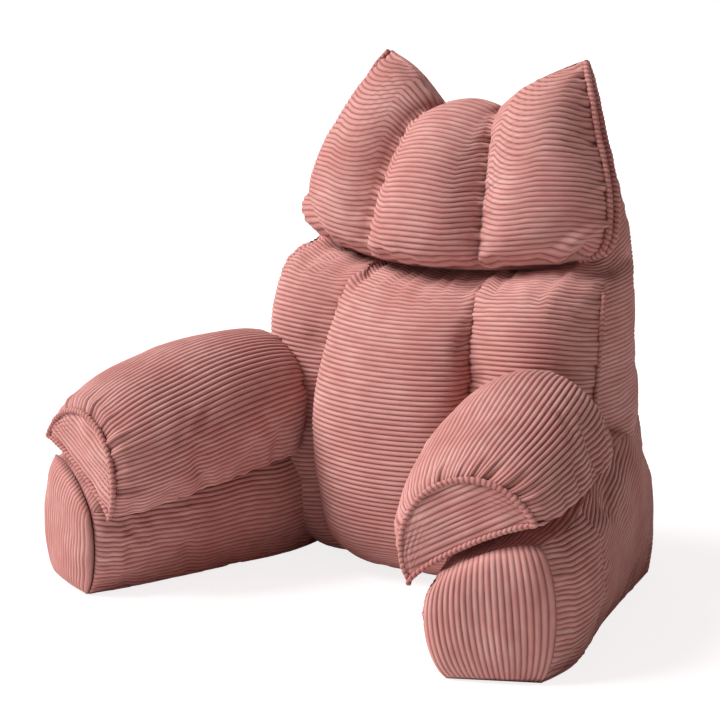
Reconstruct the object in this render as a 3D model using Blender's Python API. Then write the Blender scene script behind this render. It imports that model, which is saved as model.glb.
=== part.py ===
"""Reading pillow with arms: a filled backrest wedge with three sewn channels, a head pillow with two
pointed ears, and two arms, each a low base bolster under a rolled pad. Raised self-fabric seams edge
the head pillow, the pad ends and the backrest. Metres, +Z up; the sitter faces -Y; left is +X."""

import math
from collections import namedtuple

import bmesh
import bpy
from mathutils import Vector

# Driving sizes
HEAD_LEAN = math.radians(15)
ARM_SPLAY = math.radians(17)
ARM_FACE = math.radians(27)
BASE_END_PUFF = 0.020
DOME = ((0.82, 0.62), (0.45, 0.95))
ARM_FRONT = Vector((0.318, -0.160, 0.0))
SEWN_GAP = 0.0008
RING_EASE = 0.11
WELT_RADIUS = 0.0042
WELT_SIDES = 6
CLOTH_RGB = (0.46, 0.165, 0.150)
SEAM_RGB = (0.40, 0.135, 0.125)

# Half of the backrest's outline at each height. seam: channel seam, edge: front corner seam,
# rear: back corner seam. The four puffs are how far the filling crowns between those seams, and
# centre_tuck is how far round the middle channel rolls in behind its own crown, in degrees.
BackrestRow = namedtuple(
    "BackrestRow",
    "height seam_x seam_y edge_x edge_y rear_x rear_y centre_puff side_puff flank_puff rear_puff centre_tuck",
)
BACKREST = (
    BackrestRow(0.000, 0.084, 0.170, 0.175, 0.204, 0.205, 0.310, 0.022, 0.010, 0.006, 0.008, 10),
    BackrestRow(0.012, 0.094, 0.145, 0.198, 0.192, 0.222, 0.326, 0.037, 0.020, 0.010, 0.014, 0),
    BackrestRow(0.050, 0.102, 0.120, 0.220, 0.180, 0.232, 0.336, 0.058, 0.030, 0.014, 0.022, -8),
    BackrestRow(0.120, 0.107, 0.109, 0.235, 0.174, 0.229, 0.338, 0.070, 0.036, 0.016, 0.028, -14),
    BackrestRow(0.200, 0.107, 0.108, 0.242, 0.175, 0.219, 0.336, 0.075, 0.040, 0.016, 0.030, -16),
    BackrestRow(0.270, 0.104, 0.111, 0.245, 0.180, 0.212, 0.333, 0.066, 0.042, 0.016, 0.030, -14),
    BackrestRow(0.330, 0.098, 0.125, 0.244, 0.190, 0.209, 0.330, 0.048, 0.042, 0.015, 0.028, -8),
    BackrestRow(0.366, 0.092, 0.150, 0.237, 0.206, 0.207, 0.328, 0.026, 0.034, 0.014, 0.026, 0),
    BackrestRow(0.388, 0.084, 0.205, 0.217, 0.240, 0.205, 0.326, 0.008, 0.012, 0.012, 0.024, 20),
    BackrestRow(0.440, 0.078, 0.257, 0.200, 0.262, 0.200, 0.324, 0.001, 0.001, 0.008, 0.018, 20),
    BackrestRow(0.500, 0.070, 0.273, 0.180, 0.277, 0.180, 0.322, 0.001, 0.001, 0.006, 0.012, 20),
    BackrestRow(0.548, 0.060, 0.286, 0.154, 0.290, 0.154, 0.318, 0.001, 0.001, 0.004, 0.007, 20),
    BackrestRow(0.574, 0.050, 0.294, 0.122, 0.297, 0.122, 0.313, 0.001, 0.001, 0.002, 0.003, 20),
)
BACKREST_RINGS = 24

# The head pillow in its leaning plane: rise along the lean, half width of its front face, channel seam,
# and how far the front stands before the back at the channel seams and at the side band.
HeadRow = namedtuple("HeadRow", "level edge_x seam_x depth band centre_puff ear_puff back_puff")
HEAD = (
    HeadRow(0.00, 0.198, 0.080, 0.070, 0.014, 0.018, 0.010, 0.002),
    HeadRow(0.06, 0.220, 0.083, 0.082, 0.019, 0.032, 0.026, 0.003),
    HeadRow(0.20, 0.225, 0.081, 0.084, 0.021, 0.042, 0.038, 0.003),
    HeadRow(0.42, 0.212, 0.075, 0.080, 0.021, 0.044, 0.042, 0.003),
    HeadRow(0.62, 0.191, 0.068, 0.073, 0.020, 0.040, 0.040, 0.003),
    HeadRow(0.80, 0.173, 0.060, 0.061, 0.017, 0.030, 0.032, 0.003),
    HeadRow(0.93, 0.158, 0.052, 0.042, 0.013, 0.018, 0.020, 0.002),
    HeadRow(1.00, 0.149, 0.047, 0.020, 0.007, 0.006, 0.006, 0.001),
)
HEAD_RINGS = 15
HEAD_CHANNEL_STEPS = 7
HEAD_FOOT = Vector((0.0, 0.236, 0.390))
HEAD_CENTRE_RISE = 0.208
HEAD_VALLEY_RISE = 0.199
HEAD_EAR_RISE = 0.268
HEAD_CORNER_LIFT = 0.022
HEAD_VALLEY_X = 0.047
HEAD_TIP_X = 0.150
HEAD_SLOPE_BOW = 0.12
HEAD_REAR_INSET = 0.005
HEAD_SAG = 0.018
HEAD_FULL_DEPTH = 0.11
HEAD_WELT_TOP = 0.985
HEAD_WELT_FOOT = 0.05

# One arm base, for the left arm, from front to back: where its walls stand on the floor and how high they
# rise. The puffs are how far its walls and its top crown.
BaseRow = namedtuple("BaseRow", "place inner_x inner_y outer_x outer_y inner_rise outer_rise wall_puff top_puff")
ARM_BASE = (
    BaseRow(0, 0.270, -0.182, 0.363, -0.134, 0.106, 0.154, 0.017, 0.013),
    BaseRow(1, 0.264, -0.170, 0.366, -0.114, 0.110, 0.160, 0.020, 0.015),
    BaseRow(2, 0.244, -0.120, 0.362, -0.060, 0.112, 0.166, 0.020, 0.018),
    BaseRow(3, 0.222, -0.040, 0.338, 0.012, 0.118, 0.176, 0.022, 0.020),
    BaseRow(4, 0.200, 0.040, 0.314, 0.082, 0.126, 0.188, 0.022, 0.022),
    BaseRow(5, 0.182, 0.110, 0.294, 0.150, 0.134, 0.200, 0.020, 0.024),
    BaseRow(6, 0.182, 0.180, 0.276, 0.214, 0.138, 0.206, 0.016, 0.022),
    BaseRow(7, 0.200, 0.248, 0.260, 0.276, 0.126, 0.176, 0.010, 0.018),
    BaseRow(8, 0.214, 0.300, 0.249, 0.316, 0.096, 0.130, 0.004, 0.010),
)
BASE_RINGS = 13

# One arm pad along its arm: distance back from the front, inner and outer lower tips (across, height),
# crown above the line between the tips, and how far round it rolls in below its widest, in degrees.
PadRow = namedtuple("PadRow", "back inner_s inner_z outer_s outer_z crown tuck")
ARM_PAD = (
    PadRow(0.000, -0.100, 0.108, 0.045, 0.184, 0.084, 0),
    PadRow(0.012, -0.105, 0.108, 0.055, 0.184, 0.096, -10),
    PadRow(0.050, -0.109, 0.112, 0.067, 0.190, 0.110, -17),
    PadRow(0.110, -0.109, 0.121, 0.075, 0.195, 0.122, -19),
    PadRow(0.180, -0.107, 0.131, 0.077, 0.199, 0.132, -19),
    PadRow(0.240, -0.101, 0.139, 0.074, 0.203, 0.132, -17),
    PadRow(0.285, -0.093, 0.147, 0.066, 0.207, 0.120, -12),
    PadRow(0.306, -0.077, 0.160, 0.050, 0.213, 0.094, -5),
)
PAD_RINGS = 14
PAD_TOP_STEPS = 14
PAD_UNDER_STEPS = 6
PAD_HOLLOW = 0.010
PAD_LEAN = Vector((-0.25, 0, 1))
PAD_WELT_STAND_OFF = 0.0054

# Raised seams of the backrest's front corners
BACKREST_WELT_FOOT = 0.232
BACKREST_WELT_TOP = 0.357


def smooth_read(rows, key, at, column):
    """A column of a table at any value of its key column, by a Catmull-Rom curve through the rows."""
    keys = [getattr(row, key) for row in rows]
    values = [getattr(row, column) for row in rows]
    at = min(max(at, keys[0]), keys[-1])
    i = max(k for k in range(len(keys) - 1) if keys[k] <= at)
    span = keys[i + 1] - keys[i]
    t = (at - keys[i]) / span
    slopes = []
    for k in (i, i + 1):
        low, high = max(k - 1, 0), min(k + 1, len(keys) - 1)
        slopes.append((values[high] - values[low]) / (keys[high] - keys[low]) * span)
    a = 2 * t**3 - 3 * t**2 + 1
    b = t**3 - 2 * t**2 + t
    c = -2 * t**3 + 3 * t**2
    d = t**3 - t**2
    return a * values[i] + b * slopes[0] + c * values[i + 1] + d * slopes[1]


def row_at(rows, key, at):
    return type(rows[0])(*(smooth_read(rows, key, at, name) for name in rows[0]._fields))


def eased(share, ease):
    """A share from 0 to 1 that goes slower at both ends, so that rings lie closer together there."""
    return share - ease * math.sin(2 * math.pi * share) / math.pi


def puffed(start, end, puff, steps, outward, tuck=20):
    """Points from start up to but not including end, swelling towards outward on part of an ellipse.
    tuck is the ellipse's angle at each seam: 0 meets it square, and less than 0 rolls in behind."""
    across = end - start
    side = outward - across * (outward.dot(across) / across.length_squared)
    side.normalize()
    seam = math.radians(tuck)
    points = []
    for k in range(steps):
        angle = seam + (math.pi - 2 * seam) * k / steps
        along = 0.5 - math.cos(angle) / (2 * math.cos(seam))
        rise = (math.sin(angle) - math.sin(seam)) / (1 - math.sin(seam))
        points.append(start + across * along + side * (puff * rise))
    return points


def domed_end(ring, outward, puff):
    """Two rings inside a ring's end, each smaller and further out, so that the end crowns."""
    centre = sum(ring, Vector()) / len(ring)
    domes = []
    for share, rise in DOME:
        domes.append([centre + (point - centre) * share + outward * (puff * rise) for point in ring])
    return domes


def solid_from_rings(name, rings, folded_top=0):
    """A closed mesh through rings of equally many points, its two ends filled. Where folded_top gives
    how many edges the last ring's near side has, that ring closes as a fold, near side to far side."""
    mesh = bmesh.new()
    loops = []
    for ring in rings:
        corners = [mesh.verts.new(point) for point in ring]
        loops.append([mesh.edges.new((corners[k - 1], corners[k])) for k in range(len(corners))])
    for lower, upper in zip(loops, loops[1:]):
        for k in range(len(lower)):
            mesh.faces.new((*lower[k].verts, *reversed(upper[k].verts)))
    for loop in (loops[0],) if folded_top else (loops[0], loops[-1]):
        filled = bmesh.ops.contextual_create(mesh, geom=loop)
        bmesh.ops.poke(mesh, faces=filled["faces"])
    if folded_top:
        close_fold(mesh, corners, folded_top)
    bmesh.ops.recalc_face_normals(mesh, faces=mesh.faces)
    bmesh.ops.triangulate(mesh, faces=mesh.faces)
    data = bpy.data.meshes.new(name)
    mesh.to_mesh(data)
    mesh.free()
    data.shade_smooth()
    return data


def close_fold(mesh, corners, near_edges):
    """Fills a ring whose first near_edges edges lie before as many on its far side, with two edges
    between them at either end."""
    last = 2 * near_edges + 2
    for k in range(near_edges):
        mesh.faces.new((corners[k], corners[k + 1], corners[last - k - 1], corners[last - k]))
    mesh.faces.new(corners[near_edges : near_edges + 3])
    mesh.faces.new((corners[last], corners[last + 1], corners[0]))


def add_object(name, data, material, parent):
    piece = bpy.data.objects.new(name, data)
    bpy.context.scene.collection.objects.link(piece)
    piece.parent = parent
    piece.data.materials.append(material)
    return piece


def cloth_material(name, rgb, roughness):
    material = bpy.data.materials.new(name)
    material.use_nodes = True
    shader = material.node_tree.nodes["Principled BSDF"]
    shader.inputs["Base Color"].default_value = (*rgb, 1)
    shader.inputs["Roughness"].default_value = roughness
    shader.inputs["Metallic"].default_value = 0
    return material


def cutter_around(piece, gap):
    """A hidden copy of a piece, swollen by the gap, that carves its room out of a neighbour."""
    mesh = bmesh.new()
    mesh.from_mesh(piece.data)
    mesh.normal_update()
    for vert in mesh.verts:
        vert.co += vert.normal * gap
    data = bpy.data.meshes.new(piece.name + "_room")
    mesh.to_mesh(data)
    mesh.free()
    cutter = bpy.data.objects.new(piece.name + "_room", data)
    bpy.context.scene.collection.objects.link(cutter)
    cutter.parent = piece.parent
    cutter.hide_render = True
    cutter.display_type = "WIRE"
    return cutter


def carve(piece, cutters):
    for cutter in cutters:
        cut = piece.modifiers.new(cutter.name, "BOOLEAN")
        cut.operation = "DIFFERENCE"
        cut.solver = "EXACT"
        cut.object = cutter


# Backrest


def corner_lift(point, height):
    """How much a backrest ring rises towards its corners, most at the head pillow's lower edge."""
    ramp = min(max((height - 0.20) / 0.19, 0.0), 1.0)
    return HEAD_CORNER_LIFT * ramp * min(abs(point.x) / 0.2, 1.0) ** 2


def backrest_ring(height):
    row = row_at(BACKREST, "height", height)
    forward, back, right = Vector((0, -1, 0)), Vector((0, 1, 0)), Vector((1, 0, 0))
    seam = Vector((row.seam_x, row.seam_y, height))
    edge = Vector((row.edge_x, row.edge_y, height))
    rear = Vector((row.rear_x, row.rear_y, height))
    other = [Vector((-corner.x, corner.y, height)) for corner in (seam, edge, rear)]
    ring = puffed(other[0], seam, row.centre_puff, 10, forward, row.centre_tuck)
    ring += puffed(seam, edge, row.side_puff, 6, forward, 36)
    ring += puffed(edge, rear, row.flank_puff, 4, right)
    ring += puffed(rear, other[2], row.rear_puff, 9, back)
    ring += puffed(other[2], other[1], row.flank_puff, 4, -right)
    ring += puffed(other[1], other[0], row.side_puff, 6, forward, 36)
    return [Vector((point.x, point.y, height + corner_lift(point, height))) for point in ring]


def make_backrest(material, parent):
    top = BACKREST[-1].height
    rings = []
    for k in range(BACKREST_RINGS):
        rings.append(backrest_ring(top * eased(k / (BACKREST_RINGS - 1), RING_EASE)))
    return add_object("backrest", solid_from_rings("backrest", rings), material, parent)


# Head pillow


def head_top(x):
    """The head pillow's upper outline above its foot: a round middle lobe between two ears."""
    x = abs(x)
    if x <= HEAD_VALLEY_X:
        return HEAD_CENTRE_RISE - (HEAD_CENTRE_RISE - HEAD_VALLEY_RISE) * (x / HEAD_VALLEY_X) ** 2
    share = min((x - HEAD_VALLEY_X) / (HEAD_TIP_X - HEAD_VALLEY_X), 1.0)
    rise = HEAD_EAR_RISE - HEAD_VALLEY_RISE
    return HEAD_VALLEY_RISE + rise * (share + HEAD_SLOPE_BOW * math.sin(math.pi * share))


def head_foot(x):
    """The head pillow's lower outline, which lifts a little towards its outer corners."""
    return HEAD_CORNER_LIFT * min(abs(x) / 0.2, 1.0) ** 2


def lean_point(x, depth, level):
    """A point of the head pillow: across, forward of its back face, and level from foot to top."""
    sag = HEAD_SAG * depth / HEAD_FULL_DEPTH * (1 - level) ** 3
    rise = head_foot(x) * (1 - level) + head_top(x) * level - sag
    up = Vector((0, math.sin(HEAD_LEAN), math.cos(HEAD_LEAN)))
    forward = Vector((0, -math.cos(HEAD_LEAN), math.sin(HEAD_LEAN)))
    return HEAD_FOOT + Vector((x, 0, 0)) + up * rise + forward * depth


def head_ring(level):
    row = row_at(HEAD, "level", level)
    forward, back, right = Vector((0, 1, 0)), Vector((0, -1, 0)), Vector((1, 0, 0))
    seam = Vector((row.seam_x, row.depth, 0))
    front = Vector((row.edge_x, row.band, 0))
    rear = Vector((row.edge_x - HEAD_REAR_INSET, 0, 0))
    other = [Vector((-corner.x, corner.y, 0)) for corner in (seam, front, rear)]
    seam_back = Vector((row.seam_x, 0, 0))
    steps = HEAD_CHANNEL_STEPS
    flat = puffed(other[1], other[0], row.ear_puff, steps, forward, 25)
    flat += puffed(other[0], seam, row.centre_puff, steps, forward)
    flat += puffed(seam, front, row.ear_puff, steps, forward, 25)
    flat += puffed(front, rear, 0.002, 2, right)
    flat += puffed(rear, seam_back, row.back_puff, steps, back)
    flat += puffed(seam_back, -seam_back, row.back_puff, steps, back)
    flat += puffed(-seam_back, other[2], row.back_puff, steps, back)
    flat += puffed(other[2], other[1], 0.002, 2, -right)
    return [lean_point(point.x, point.y, level) for point in flat]


def make_head_pillow(material, parent):
    rings = []
    for k in range(HEAD_RINGS):
        rings.append(head_ring(eased(k / (HEAD_RINGS - 1), RING_EASE)))
    data = solid_from_rings("head_pillow", rings, 3 * HEAD_CHANNEL_STEPS)
    return add_object("head_pillow", data, material, parent)


# Arms


def base_ring(place, side):
    row = row_at(ARM_BASE, "place", place)
    inner = Vector((row.inner_x, row.inner_y, 0))
    outer = Vector((row.outer_x, row.outer_y, 0))
    across = (outer - inner).normalized()
    up = Vector((0, 0, 1))
    inner_top = inner - across * row.wall_puff * 0.9 + up * row.inner_rise
    outer_top = outer - across * row.wall_puff * 0.3 + up * row.outer_rise
    ring = puffed(inner, outer, 0.0, 3, -up)
    ring += puffed(outer, outer_top, row.wall_puff, 6, across)
    ring += puffed(outer_top, inner_top, row.top_puff, 5, up)
    ring += puffed(inner_top, inner, row.wall_puff, 5, -across)
    return [Vector((point.x * side, point.y, point.z)) for point in ring]


def make_arm_base(name, side, material, parent):
    last = len(ARM_BASE) - 1
    rings = [base_ring(last * k / (BASE_RINGS - 1), side) for k in range(BASE_RINGS)]
    forward = Vector((side * math.sin(ARM_FACE), -math.cos(ARM_FACE), 0))
    rings = domed_end(rings[0], forward, BASE_END_PUFF)[::-1] + rings
    return add_object(name, solid_from_rings(name, rings), material, parent)


def pad_point(across, back, height, side):
    """A point of an arm pad: across its arm, back from its front end, and above the floor."""
    x = ARM_FRONT.x + across * math.cos(ARM_SPLAY) - back * math.sin(ARM_SPLAY)
    y = ARM_FRONT.y + across * math.sin(ARM_SPLAY) + back * math.cos(ARM_SPLAY)
    return Vector((side * x, y, height))


def pad_ring(back, side):
    row = row_at(ARM_PAD, "back", back)
    inner = Vector((row.inner_s, 0, row.inner_z))
    outer = Vector((row.outer_s, 0, row.outer_z))
    top = puffed(inner, outer, row.crown, PAD_TOP_STEPS, PAD_LEAN, row.tuck)
    under = puffed(outer, inner, -PAD_HOLLOW, PAD_UNDER_STEPS, Vector((0, 0, -1)))
    return [pad_point(point.x, back, point.z, side) for point in top + under]


def make_arm_pad(name, side, material, parent):
    last = ARM_PAD[-1].back
    rings = []
    for k in range(PAD_RINGS):
        rings.append(pad_ring(last * eased(k / (PAD_RINGS - 1), RING_EASE), side))
    return add_object(name, solid_from_rings(name, rings), material, parent)


# Raised seams


def make_welt(name, route, material, parent):
    """A raised seam: folded cloth, six-sided in section, along a route."""
    rings = []
    for k, place in enumerate(route):
        along = (route[min(k + 1, len(route) - 1)] - route[max(k - 1, 0)]).normalized()
        over = along.orthogonal() if abs(along.z) > 0.99 else along.cross(Vector((0, 0, 1)))
        over.normalize()
        under = along.cross(over)
        turns = [math.tau * corner / WELT_SIDES for corner in range(WELT_SIDES)]
        rings.append([place + (over * math.cos(a) + under * math.sin(a)) * WELT_RADIUS for a in turns])
    return add_object(name, solid_from_rings(name, rings), material, parent)


def head_welt_route(side, depth_share, steps):
    """Along the side band of the head pillow, from the ear's tip to the lower corner."""
    route = []
    for k in range(steps + 1):
        level = HEAD_WELT_TOP + (HEAD_WELT_FOOT - HEAD_WELT_TOP) * k / steps
        row = row_at(HEAD, "level", level)
        edge = row.edge_x - HEAD_REAR_INSET * (1 - depth_share)
        route.append(lean_point(side * (edge + WELT_RADIUS * 1.25), row.band * depth_share, level))
    return route


def pad_welt_route(side, upper):
    """Round the front end of an arm pad, along its crown or along its lower edge."""
    ring = pad_ring(0.0, 1)
    arc = ring[: PAD_TOP_STEPS + 1] if upper else ring[PAD_TOP_STEPS + 1 :]
    forward = Vector((math.sin(ARM_SPLAY), -math.cos(ARM_SPLAY), 0)) * PAD_WELT_STAND_OFF
    return [Vector(((point + forward).x * side, (point + forward).y, point.z)) for point in arc]


def backrest_welt_route(side, steps):
    """Up the front corner seam of the backrest, from its foot to the head pillow."""
    route = []
    for k in range(steps + 1):
        height = BACKREST_WELT_FOOT + (BACKREST_WELT_TOP - BACKREST_WELT_FOOT) * k / steps
        row = row_at(BACKREST, "height", height)
        corner = Vector((row.edge_x, row.edge_y, 0))
        lift = corner_lift(corner, height)
        stand_off = (WELT_RADIUS + SEWN_GAP) * 1.1
        route.append(Vector((side * (corner.x + stand_off), corner.y - stand_off * 0.4, height + lift)))
    return route


def main():
    for old in list(bpy.data.objects):
        bpy.data.objects.remove(old, do_unlink=True)
    cloth = cloth_material("wide_wale_corduroy", CLOTH_RGB, 0.9)
    seam = cloth_material("corduroy_seam", SEAM_RGB, 0.9)
    frame = bpy.data.objects.new("reading_pillow", None)
    bpy.context.scene.collection.objects.link(frame)
    backrest = make_backrest(cloth, frame)
    head = make_head_pillow(cloth, frame)
    backrest_room = cutter_around(backrest, SEWN_GAP)
    head_room = cutter_around(head, SEWN_GAP)
    carve(head, (backrest_room,))
    for side, hand in ((1, "left"), (-1, "right")):
        base = make_arm_base("arm_base_" + hand, side, cloth, frame)
        pad = make_arm_pad("arm_pad_" + hand, side, cloth, frame)
        base_room = cutter_around(base, SEWN_GAP)
        carve(base, (backrest_room,))
        carve(pad, (base_room, backrest_room))
        for place, share in (("front", 1.0), ("rear", 0.0)):
            welt = make_welt("head_welt_%s_%s" % (place, hand), head_welt_route(side, share, 16), seam, frame)
            carve(welt, (head_room, backrest_room))
        make_welt("pad_welt_upper_" + hand, pad_welt_route(side, True), seam, frame)
        make_welt("pad_welt_lower_" + hand, pad_welt_route(side, False), seam, frame)
        welt = make_welt("backrest_welt_" + hand, backrest_welt_route(side, 8), seam, frame)
        carve(welt, (backrest_room,))
    depths = [vert.co.y for piece in frame.children for vert in piece.data.vertices if not piece.hide_render]
    frame.location.y = -(min(depths) + max(depths)) / 2


main()
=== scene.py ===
import math
from collections import namedtuple

import bmesh
import bpy
import numpy as np
from mathutils import Matrix, Vector


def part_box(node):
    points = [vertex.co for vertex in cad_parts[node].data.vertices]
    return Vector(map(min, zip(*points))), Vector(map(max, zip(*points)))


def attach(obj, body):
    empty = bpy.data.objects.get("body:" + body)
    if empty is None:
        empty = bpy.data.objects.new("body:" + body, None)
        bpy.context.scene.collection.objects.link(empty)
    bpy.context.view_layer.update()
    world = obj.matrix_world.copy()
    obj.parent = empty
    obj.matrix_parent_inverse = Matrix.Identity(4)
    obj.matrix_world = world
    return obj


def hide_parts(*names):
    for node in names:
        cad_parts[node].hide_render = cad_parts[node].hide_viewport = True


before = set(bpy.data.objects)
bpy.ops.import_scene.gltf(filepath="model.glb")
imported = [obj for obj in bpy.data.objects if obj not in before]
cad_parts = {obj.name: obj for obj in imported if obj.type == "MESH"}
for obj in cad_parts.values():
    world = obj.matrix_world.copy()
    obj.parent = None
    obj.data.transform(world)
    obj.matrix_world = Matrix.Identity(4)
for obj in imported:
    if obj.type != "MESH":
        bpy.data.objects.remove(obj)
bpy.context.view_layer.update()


# Backrest
# A wedge of fibre fill in a cotton-poly wide-wale corduroy cover. Two sewn channels run down its front, and
# the cloth rolls out between them. The wales run level round it, and gather along the seams.

WALE = 0.00635
WALE_CUTS = 5
WALE_DEPTH = 0.0019
WALE_ROUNDING = 0.5
SEAM_GROOVE = 0.0042
SEAM_WIDTH = 0.0045
WELD = 0.00002
FORWARD = np.array((0.0, -1.0, 0.0))
BACK = np.array((0.0, 1.0, 0.0))
RIGHT = np.array((1.0, 0.0, 0.0))
UP = np.array((0.0, 0.0, 1.0))

BackrestRow = namedtuple(
    "BackrestRow",
    "height seam_x seam_y edge_x edge_y rear_x rear_y centre_puff side_puff flank_puff rear_puff centre_tuck",
)
BACKREST = (
    BackrestRow(0.000, 0.084, 0.170, 0.175, 0.204, 0.205, 0.310, 0.022, 0.010, 0.006, 0.008, 10),
    BackrestRow(0.012, 0.094, 0.145, 0.198, 0.192, 0.222, 0.326, 0.037, 0.020, 0.010, 0.014, 0),
    BackrestRow(0.050, 0.102, 0.120, 0.220, 0.180, 0.232, 0.336, 0.058, 0.030, 0.014, 0.022, -8),
    BackrestRow(0.120, 0.107, 0.109, 0.235, 0.174, 0.229, 0.338, 0.070, 0.036, 0.016, 0.028, -14),
    BackrestRow(0.200, 0.107, 0.108, 0.242, 0.175, 0.219, 0.336, 0.075, 0.040, 0.016, 0.030, -16),
    BackrestRow(0.270, 0.104, 0.111, 0.245, 0.180, 0.212, 0.333, 0.066, 0.042, 0.016, 0.030, -14),
    BackrestRow(0.330, 0.098, 0.125, 0.244, 0.190, 0.209, 0.330, 0.048, 0.042, 0.015, 0.028, -8),
    BackrestRow(0.366, 0.092, 0.150, 0.237, 0.206, 0.207, 0.328, 0.026, 0.034, 0.014, 0.026, 0),
    BackrestRow(0.388, 0.084, 0.205, 0.217, 0.240, 0.205, 0.326, 0.008, 0.012, 0.012, 0.024, 20),
    BackrestRow(0.440, 0.078, 0.257, 0.200, 0.262, 0.200, 0.324, 0.001, 0.001, 0.008, 0.018, 20),
    BackrestRow(0.500, 0.070, 0.273, 0.180, 0.277, 0.180, 0.322, 0.001, 0.001, 0.006, 0.012, 20),
    BackrestRow(0.548, 0.060, 0.286, 0.154, 0.290, 0.154, 0.318, 0.001, 0.001, 0.004, 0.007, 20),
    BackrestRow(0.574, 0.050, 0.294, 0.122, 0.297, 0.122, 0.313, 0.001, 0.001, 0.002, 0.003, 20),
)
CORNER_LIFT = 0.022
LIFT_START, LIFT_RISE, LIFT_HALF_WIDTH = 0.20, 0.19, 0.2


def curve_weights(keys, at):
    """What each of the keys counts for, at each place, in a smooth curve through all of them."""
    keys = np.asarray(keys, float)
    at = np.clip(at, keys[0], keys[-1])
    last = len(keys) - 1
    i = np.clip(np.searchsorted(keys, at, side="right") - 1, 0, last - 1)
    span = keys[i + 1] - keys[i]
    t = (at - keys[i]) / span
    weights = np.zeros((len(at), len(keys)))
    place = np.arange(len(at))
    np.add.at(weights, (place, i), 2 * t**3 - 3 * t**2 + 1)
    np.add.at(weights, (place, i + 1), 3 * t**2 - 2 * t**3)
    for near, share in ((i, t**3 - 2 * t**2 + t), (i + 1, t**3 - t**2)):
        low = np.maximum(near - 1, 0)
        high = np.minimum(near + 1, last)
        slope = share * span / (keys[high] - keys[low])
        np.add.at(weights, (place, high), slope)
        np.add.at(weights, (place, low), -slope)
    return weights


def table_at(rows, at):
    """A table's columns, read at places along its first column."""
    cells = np.array(rows, float)
    return type(rows[0])(*(curve_weights(cells[:, 0], at) @ cells).T)


def points(x, y, z):
    return np.stack(np.broadcast_arrays(x, y, z), axis=-1).astype(float)


def puffed(start, end, puff, steps, outward, tuck=20.0):
    """Rows of places from start up to but not including end, swelling outward on part of an ellipse. tuck is
    its angle at each seam in degrees: 0 meets the seam square, and less than 0 rolls in behind."""
    across = end - start
    side = outward - across * ((across @ outward) / (across**2).sum(1))[:, None]
    side = side / np.linalg.norm(side, axis=1)[:, None]
    seam = np.radians(np.broadcast_to(tuck, len(start)))[:, None]
    angle = seam + (math.pi - 2 * seam) * np.arange(steps) / steps
    along = 0.5 - np.cos(angle) / (2 * np.cos(seam))
    rise = np.broadcast_to(puff, len(start))[:, None] * (np.sin(angle) - np.sin(seam)) / (1 - np.sin(seam))
    return start[:, None] + across[:, None] * along[..., None] + side[:, None] * rise[..., None]


def mirrored(places):
    return places * (-1, 1, 1)


def closed_ring(arcs):
    """Arcs end to end, with the first place again at the end."""
    return np.concatenate([*arcs, arcs[0][:, :1]], axis=1)


def even_rows(places, count):
    """A lattice with its rows spaced evenly along each column."""
    steps = np.linalg.norm(np.diff(places, axis=0), axis=2)
    run = np.vstack([np.zeros(places.shape[1]), np.cumsum(steps, axis=0)])
    share = np.linspace(0, 1, count)
    even = [curve_weights(run[:, k] / run[-1, k], share) @ places[:, k] for k in range(places.shape[1])]
    return np.stack(even, axis=1)


def fold_rows(ring, front, band, rise, count):
    """Rows that close a ring as a fold: its front and back meet in a line, over a band at either side."""
    far = ring[front + band : 2 * front + band + 1][::-1]
    middle = np.empty_like(ring)
    meet = (ring[: front + 1] + far) / 2
    middle[: front + 1] = meet
    middle[front + 1 : front + band] = meet[-1]
    middle[front + band : 2 * front + band + 1] = meet[::-1]
    middle[2 * front + band + 1 :] = meet[0]
    turns = np.radians(np.linspace(0, 90, count + 1)[1:])
    return np.stack([middle + (ring - middle) * math.cos(turn) + rise * math.sin(turn) for turn in turns])


def pole_rows(ring, outward, count):
    """Rows that close a ring as a dome, to one point."""
    middle = ring[:-1].mean(axis=0)
    turns = np.radians(np.linspace(0, 90, count + 1)[1:])
    return np.stack([middle + (ring - middle) * math.cos(turn) + outward * math.sin(turn) for turn in turns])


def skin(name, places, cord):
    """A closed mesh through a lattice whose last column lies on its first. cord gives each place's wale count
    across the wales and along them, which the mesh keeps as its UV map."""
    rows, columns = places.shape[:2]
    shell = bmesh.new()
    bmesh.ops.create_grid(shell, x_segments=columns - 1, y_segments=rows - 1, size=1)
    data = bpy.data.meshes.new(name)
    shell.to_mesh(data)
    shell.free()
    data.vertices.foreach_set("co", places.astype(np.float32).ravel())
    corners = np.empty(len(data.loops), np.int32)
    data.loops.foreach_get("vertex_index", corners)
    cord_map = data.uv_layers.new(name="cord")
    cord_map.data.foreach_set("uv", cord.reshape(-1, 2)[corners].astype(np.float32).ravel())
    place = data.attributes.new("place", "INT", "POINT")
    place.data.foreach_set("value", np.arange(rows * columns, dtype=np.int32))
    shell = bmesh.new()
    shell.from_mesh(data)
    bmesh.ops.remove_doubles(shell, verts=shell.verts, dist=WELD)
    bmesh.ops.recalc_face_normals(shell, faces=shell.faces)
    shell.to_mesh(data)
    shell.free()
    data.shade_smooth()
    return data


def add_piece(name, data, material):
    piece = bpy.data.objects.new(name, data)
    bpy.context.scene.collection.objects.link(piece)
    if material:
        data.materials.append(material)
    return piece


SETTLING_FRAMES = 20
SIDEWAYS_SHARE = 0.3


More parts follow.
